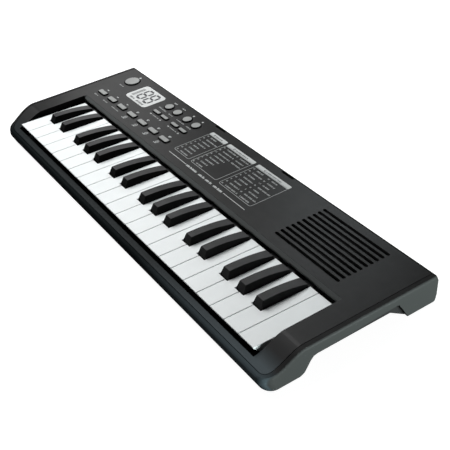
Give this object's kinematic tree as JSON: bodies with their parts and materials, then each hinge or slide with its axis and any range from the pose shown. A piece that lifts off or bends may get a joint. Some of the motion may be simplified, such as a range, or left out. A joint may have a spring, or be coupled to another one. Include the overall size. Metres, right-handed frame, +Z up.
{
  "type": "toy electronic keyboard",
  "caption": "Small battery-powered musical keyboard with sprung white and black keys, push buttons, a display window, a slotted loudspeaker panel and a sliding battery cover.",
  "frame": {"origin": "on the ground, under the middle of the case", "axes": "+X from the bass end to the treble end, +Y from the player to the rear edge, +Z up"},
  "size_m": [0.4134, 0.1418, 0.0228],
  "materials": {
    "case_plastic": "charcoal, finely textured",
    "white_key_plastic": "satin gloss",
    "black_key_plastic": "satin",
    "button_plastic": "light grey, fine grain",
    "display": "pale grey window",
    "board": "green solder mask",
    "speaker_paper": "dark cone and basket",
    "rail_plastic": "plain moulded"
  },
  "bodies": {
    "case": {"lower_case": "case_plastic", "upper_case": "case_plastic", "display_window": "display", "main_board": "board", "speaker": "speaker_paper", "key_rail": "rail_plastic"},
    "battery_door": {"battery_door": "case_plastic"},
    "white_key_01": {"white_key_01": "white_key_plastic"},
    "white_key_02": {"white_key_02": "white_key_plastic"},
    "white_key_03": {"white_key_03": "white_key_plastic"},
    "white_key_04": {"white_key_04": "white_key_plastic"},
    "white_key_05": {"white_key_05": "white_key_plastic"},
    "white_key_06": {"white_key_06": "white_key_plastic"},
    "white_key_07": {"white_key_07": "white_key_plastic"},
    "white_key_08": {"white_key_08": "white_key_plastic"},
    "white_key_09": {"white_key_09": "white_key_plastic"},
    "white_key_10": {"white_key_10": "white_key_plastic"},
    "white_key_11": {"white_key_11": "white_key_plastic"},
    "white_key_12": {"white_key_12": "white_key_plastic"},
    "white_key_13": {"white_key_13": "white_key_plastic"},
    "white_key_14": {"white_key_14": "white_key_plastic"},
    "white_key_15": {"white_key_15": "white_key_plastic"},
    "white_key_16": {"white_key_16": "white_key_plastic"},
    "white_key_17": {"white_key_17": "white_key_plastic"},
    "white_key_18": {"white_key_18": "white_key_plastic"},
    "white_key_19": {"white_key_19": "white_key_plastic"},
    "white_key_20": {"white_key_20": "white_key_plastic"},
    "white_key_21": {"white_key_21": "white_key_plastic"},
    "white_key_22": {"white_key_22": "white_key_plastic"},
    "black_key_01": {"black_key_01": "black_key_plastic"},
    "black_key_02": {"black_key_02": "black_key_plastic"},
    "black_key_03": {"black_key_03": "black_key_plastic"},
    "black_key_04": {"black_key_04": "black_key_plastic"},
    "black_key_05": {"black_key_05": "black_key_plastic"},
    "black_key_06": {"black_key_06": "black_key_plastic"},
    "black_key_07": {"black_key_07": "black_key_plastic"},
    "black_key_08": {"black_key_08": "black_key_plastic"},
    "black_key_09": {"black_key_09": "black_key_plastic"},
    "black_key_10": {"black_key_10": "black_key_plastic"},
    "black_key_11": {"black_key_11": "black_key_plastic"},
    "black_key_12": {"black_key_12": "black_key_plastic"},
    "black_key_13": {"black_key_13": "black_key_plastic"},
    "black_key_14": {"black_key_14": "black_key_plastic"},
    "black_key_15": {"black_key_15": "black_key_plastic"},
    "power_button": {"power_button": "button_plastic"},
    "round_button_1": {"round_button_1": "button_plastic"},
    "round_button_2": {"round_button_2": "button_plastic"},
    "round_button_3": {"round_button_3": "button_plastic"},
    "round_button_4": {"round_button_4": "button_plastic"},
    "step_button_1": {"step_button_1": "button_plastic"},
    "step_button_2": {"step_button_2": "button_plastic"},
    "step_button_3": {"step_button_3": "button_plastic"},
    "step_button_4": {"step_button_4": "button_plastic"},
    "function_button_1": {"function_button_1": "button_plastic"},
    "function_button_2": {"function_button_2": "button_plastic"},
    "function_button_3": {"function_button_3": "button_plastic"},
    "function_button_4": {"function_button_4": "button_plastic"},
    "function_button_5": {"function_button_5": "button_plastic"},
    "function_button_6": {"function_button_6": "button_plastic"},
    "function_button_7": {"function_button_7": "button_plastic"}
  },
  "joints": [
    {"name": "white_key_01_hinge", "type": "hinge", "parent": "case", "child": "white_key_01", "pos_m": [-0.1743, 0.01, 0.0118], "axis": [1, 0, 0], "range_deg": [0, 3.2], "stiffness_Nm_per_rad": 0.33, "springref_deg": -2.86},
    {"name": "white_key_02_hinge", "type": "hinge", "parent": "case", "child": "white_key_02", "pos_m": [-0.1577, 0.01, 0.0118], "axis": [1, 0, 0], "range_deg": [0, 3.2], "stiffness_Nm_per_rad": 0.33, "springref_deg": -2.86},
    {"name": "white_key_03_hinge", "type": "hinge", "parent": "case", "child": "white_key_03", "pos_m": [-0.1411, 0.01, 0.0118], "axis": [1, 0, 0], "range_deg": [0, 3.2], "stiffness_Nm_per_rad": 0.33, "springref_deg": -2.86},
    {"name": "white_key_04_hinge", "type": "hinge", "parent": "case", "child": "white_key_04", "pos_m": [-0.1245, 0.01, 0.0118], "axis": [1, 0, 0], "range_deg": [0, 3.2], "stiffness_Nm_per_rad": 0.33, "springref_deg": -2.86},
    {"name": "white_key_05_hinge", "type": "hinge", "parent": "case", "child": "white_key_05", "pos_m": [-0.1079, 0.01, 0.0118], "axis": [1, 0, 0], "range_deg": [0, 3.2], "stiffness_Nm_per_rad": 0.33, "springref_deg": -2.86},
    {"name": "white_key_06_hinge", "type": "hinge", "parent": "case", "child": "white_key_06", "pos_m": [-0.0913, 0.01, 0.0118], "axis": [1, 0, 0], "range_deg": [0, 3.2], "stiffness_Nm_per_rad": 0.33, "springref_deg": -2.86},
    {"name": "white_key_07_hinge", "type": "hinge", "parent": "case", "child": "white_key_07", "pos_m": [-0.0747, 0.01, 0.0118], "axis": [1, 0, 0], "range_deg": [0, 3.2], "stiffness_Nm_per_rad": 0.33, "springref_deg": -2.86},
    {"name": "white_key_08_hinge", "type": "hinge", "parent": "case", "child": "white_key_08", "pos_m": [-0.0581, 0.01, 0.0118], "axis": [1, 0, 0], "range_deg": [0, 3.2], "stiffness_Nm_per_rad": 0.33, "springref_deg": -2.86},
    {"name": "white_key_09_hinge", "type": "hinge", "parent": "case", "child": "white_key_09", "pos_m": [-0.0415, 0.01, 0.0118], "axis": [1, 0, 0], "range_deg": [0, 3.2], "stiffness_Nm_per_rad": 0.33, "springref_deg": -2.86},
    {"name": "white_key_10_hinge", "type": "hinge", "parent": "case", "child": "white_key_10", "pos_m": [-0.0249, 0.01, 0.0118], "axis": [1, 0, 0], "range_deg": [0, 3.2], "stiffness_Nm_per_rad": 0.33, "springref_deg": -2.86},
    {"name": "white_key_11_hinge", "type": "hinge", "parent": "case", "child": "white_key_11", "pos_m": [-0.0083, 0.01, 0.0118], "axis": [1, 0, 0], "range_deg": [0, 3.2], "stiffness_Nm_per_rad": 0.33, "springref_deg": -2.86},
    {"name": "white_key_12_hinge", "type": "hinge", "parent": "case", "child": "white_key_12", "pos_m": [0.0083, 0.01, 0.0118], "axis": [1, 0, 0], "range_deg": [0, 3.2], "stiffness_Nm_per_rad": 0.33, "springref_deg": -2.86},
    {"name": "white_key_13_hinge", "type": "hinge", "parent": "case", "child": "white_key_13", "pos_m": [0.0249, 0.01, 0.0118], "axis": [1, 0, 0], "range_deg": [0, 3.2], "stiffness_Nm_per_rad": 0.33, "springref_deg": -2.86},
    {"name": "white_key_14_hinge", "type": "hinge", "parent": "case", "child": "white_key_14", "pos_m": [0.0415, 0.01, 0.0118], "axis": [1, 0, 0], "range_deg": [0, 3.2], "stiffness_Nm_per_rad": 0.33, "springref_deg": -2.86},
    {"name": "white_key_15_hinge", "type": "hinge", "parent": "case", "child": "white_key_15", "pos_m": [0.0581, 0.01, 0.0118], "axis": [1, 0, 0], "range_deg": [0, 3.2], "stiffness_Nm_per_rad": 0.33, "springref_deg": -2.86},
    {"name": "white_key_16_hinge", "type": "hinge", "parent": "case", "child": "white_key_16", "pos_m": [0.0747, 0.01, 0.0118], "axis": [1, 0, 0], "range_deg": [0, 3.2], "stiffness_Nm_per_rad": 0.33, "springref_deg": -2.86},
    {"name": "white_key_17_hinge", "type": "hinge", "parent": "case", "child": "white_key_17", "pos_m": [0.0913, 0.01, 0.0118], "axis": [1, 0, 0], "range_deg": [0, 3.2], "stiffness_Nm_per_rad": 0.33, "springref_deg": -2.86},
    {"name": "white_key_18_hinge", "type": "hinge", "parent": "case", "child": "white_key_18", "pos_m": [0.1079, 0.01, 0.0118], "axis": [1, 0, 0], "range_deg": [0, 3.2], "stiffness_Nm_per_rad": 0.33, "springref_deg": -2.86},
    {"name": "white_key_19_hinge", "type": "hinge", "parent": "case", "child": "white_key_19", "pos_m": [0.1245, 0.01, 0.0118], "axis": [1, 0, 0], "range_deg": [0, 3.2], "stiffness_Nm_per_rad": 0.33, "springref_deg": -2.86},
    {"name": "white_key_20_hinge", "type": "hinge", "parent": "case", "child": "white_key_20", "pos_m": [0.1411, 0.01, 0.0118], "axis": [1, 0, 0], "range_deg": [0, 3.2], "stiffness_Nm_per_rad": 0.33, "springref_deg": -2.86},
    {"name": "white_key_21_hinge", "type": "hinge", "parent": "case", "child": "white_key_21", "pos_m": [0.1577, 0.01, 0.0118], "axis": [1, 0, 0], "range_deg": [0, 3.2], "stiffness_Nm_per_rad": 0.33, "springref_deg": -2.86},
    {"name": "white_key_22_hinge", "type": "hinge", "parent": "case", "child": "white_key_22", "pos_m": [0.1743, 0.01, 0.0118], "axis": [1, 0, 0], "range_deg": [0, 3.2], "stiffness_Nm_per_rad": 0.33, "springref_deg": -2.86},
    {"name": "black_key_01_hinge", "type": "hinge", "parent": "case", "child": "black_key_01", "pos_m": [-0.16766, 0.01, 0.0118], "axis": [1, 0, 0], "range_deg": [0, 3.4], "stiffness_Nm_per_rad": 0.33, "springref_deg": -2.86},
    {"name": "black_key_02_hinge", "type": "hinge", "parent": "case", "child": "black_key_02", "pos_m": [-0.14774, 0.01, 0.0118], "axis": [1, 0, 0], "range_deg": [0, 3.4], "stiffness_Nm_per_rad": 0.33, "springref_deg": -2.86},
    {"name": "black_key_03_hinge", "type": "hinge", "parent": "case", "child": "black_key_03", "pos_m": [-0.11886, 0.01, 0.0118], "axis": [1, 0, 0], "range_deg": [0, 3.4], "stiffness_Nm_per_rad": 0.33, "springref_deg": -2.86},
    {"name": "black_key_04_hinge", "type": "hinge", "parent": "case", "child": "black_key_04", "pos_m": [-0.09977, 0.01, 0.0118], "axis": [1, 0, 0], "range_deg": [0, 3.4], "stiffness_Nm_per_rad": 0.33, "springref_deg": -2.86},
    {"name": "black_key_05_hinge", "type": "hinge", "parent": "case", "child": "black_key_05", "pos_m": [-0.08034, 0.01, 0.0118], "axis": [1, 0, 0], "range_deg": [0, 3.4], "stiffness_Nm_per_rad": 0.33, "springref_deg": -2.86},
    {"name": "black_key_06_hinge", "type": "hinge", "parent": "case", "child": "black_key_06", "pos_m": [-0.05146, 0.01, 0.0118], "axis": [1, 0, 0], "range_deg": [0, 3.4], "stiffness_Nm_per_rad": 0.33, "springref_deg": -2.86},
    {"name": "black_key_07_hinge", "type": "hinge", "parent": "case", "child": "black_key_07", "pos_m": [-0.03154, 0.01, 0.0118], "axis": [1, 0, 0], "range_deg": [0, 3.4], "stiffness_Nm_per_rad": 0.33, "springref_deg": -2.86},
    {"name": "black_key_08_hinge", "type": "hinge", "parent": "case", "child": "black_key_08", "pos_m": [-0.00266, 0.01, 0.0118], "axis": [1, 0, 0], "range_deg": [0, 3.4], "stiffness_Nm_per_rad": 0.33, "springref_deg": -2.86},
    {"name": "black_key_09_hinge", "type": "hinge", "parent": "case", "child": "black_key_09", "pos_m": [0.01643, 0.01, 0.0118], "axis": [1, 0, 0], "range_deg": [0, 3.4], "stiffness_Nm_per_rad": 0.33, "springref_deg": -2.86},
    {"name": "black_key_10_hinge", "type": "hinge", "parent": "case", "child": "black_key_10", "pos_m": [0.03586, 0.01, 0.0118], "axis": [1, 0, 0], "range_deg": [0, 3.4], "stiffness_Nm_per_rad": 0.33, "springref_deg": -2.86},
    {"name": "black_key_11_hinge", "type": "hinge", "parent": "case", "child": "black_key_11", "pos_m": [0.06474, 0.01, 0.0118], "axis": [1, 0, 0], "range_deg": [0, 3.4], "stiffness_Nm_per_rad": 0.33, "springref_deg": -2.86},
    {"name": "black_key_12_hinge", "type": "hinge", "parent": "case", "child": "black_key_12", "pos_m": [0.08466, 0.01, 0.0118], "axis": [1, 0, 0], "range_deg": [0, 3.4], "stiffness_Nm_per_rad": 0.33, "springref_deg": -2.86},
    {"name": "black_key_13_hinge", "type": "hinge", "parent": "case", "child": "black_key_13", "pos_m": [0.11354, 0.01, 0.0118], "axis": [1, 0, 0], "range_deg": [0, 3.4], "stiffness_Nm_per_rad": 0.33, "springref_deg": -2.86},
    {"name": "black_key_14_hinge", "type": "hinge", "parent": "case", "child": "black_key_14", "pos_m": [0.13263, 0.01, 0.0118], "axis": [1, 0, 0], "range_deg": [0, 3.4], "stiffness_Nm_per_rad": 0.33, "springref_deg": -2.86},
    {"name": "black_key_15_hinge", "type": "hinge", "parent": "case", "child": "black_key_15", "pos_m": [0.15206, 0.01, 0.0118], "axis": [1, 0, 0], "range_deg": [0, 3.4], "stiffness_Nm_per_rad": 0.33, "springref_deg": -2.86},
    {"name": "power_button_press", "type": "slide", "parent": "case", "child": "power_button", "axis": [0, 0, -1], "range_m": [0, 0.001], "stiffness_N_per_m": 400, "springref_m": -0.001},
    {"name": "round_button_1_press", "type": "slide", "parent": "case", "child": "round_button_1", "axis": [0, 0, -1], "range_m": [0, 0.001], "stiffness_N_per_m": 400, "springref_m": -0.001},
    {"name": "round_button_2_press", "type": "slide", "parent": "case", "child": "round_button_2", "axis": [0, 0, -1], "range_m": [0, 0.001], "stiffness_N_per_m": 400, "springref_m": -0.001},
    {"name": "round_button_3_press", "type": "slide", "parent": "case", "child": "round_button_3", "axis": [0, 0, -1], "range_m": [0, 0.001], "stiffness_N_per_m": 400, "springref_m": -0.001},
    {"name": "round_button_4_press", "type": "slide", "parent": "case", "child": "round_button_4", "axis": [0, 0, -1], "range_m": [0, 0.001], "stiffness_N_per_m": 400, "springref_m": -0.001},
    {"name": "step_button_1_press", "type": "slide", "parent": "case", "child": "step_button_1", "axis": [0, 0, -1], "range_m": [0, 0.001], "stiffness_N_per_m": 400, "springref_m": -0.001},
    {"name": "step_button_2_press", "type": "slide", "parent": "case", "child": "step_button_2", "axis": [0, 0, -1], "range_m": [0, 0.001], "stiffness_N_per_m": 400, "springref_m": -0.001},
    {"name": "step_button_3_press", "type": "slide", "parent": "case", "child": "step_button_3", "axis": [0, 0, -1], "range_m": [0, 0.001], "stiffness_N_per_m": 400, "springref_m": -0.001},
    {"name": "step_button_4_press", "type": "slide", "parent": "case", "child": "step_button_4", "axis": [0, 0, -1], "range_m": [0, 0.001], "stiffness_N_per_m": 400, "springref_m": -0.001},
    {"name": "function_button_1_press", "type": "slide", "parent": "case", "child": "function_button_1", "axis": [0, 0, -1], "range_m": [0, 0.001], "stiffness_N_per_m": 400, "springref_m": -0.001},
    {"name": "function_button_2_press", "type": "slide", "parent": "case", "child": "function_button_2", "axis": [0, 0, -1], "range_m": [0, 0.001], "stiffness_N_per_m": 400, "springref_m": -0.001},
    {"name": "function_button_3_press", "type": "slide", "parent": "case", "child": "function_button_3", "axis": [0, 0, -1], "range_m": [0, 0.001], "stiffness_N_per_m": 400, "springref_m": -0.001},
    {"name": "function_button_4_press", "type": "slide", "parent": "case", "child": "function_button_4", "axis": [0, 0, -1], "range_m": [0, 0.001], "stiffness_N_per_m": 400, "springref_m": -0.001},
    {"name": "function_button_5_press", "type": "slide", "parent": "case", "child": "function_button_5", "axis": [0, 0, -1], "range_m": [0, 0.001], "stiffness_N_per_m": 400, "springref_m": -0.001},
    {"name": "function_button_6_press", "type": "slide", "parent": "case", "child": "function_button_6", "axis": [0, 0, -1], "range_m": [0, 0.001], "stiffness_N_per_m": 400, "springref_m": -0.001},
    {"name": "function_button_7_press", "type": "slide", "parent": "case", "child": "function_button_7", "axis": [0, 0, -1], "range_m": [0, 0.001], "stiffness_N_per_m": 400, "springref_m": -0.001},
    {"name": "battery_door_slide", "type": "slide", "parent": "case", "child": "battery_door", "axis": [0, -1, 0], "range_m": [0, 0.019]}
  ]
}
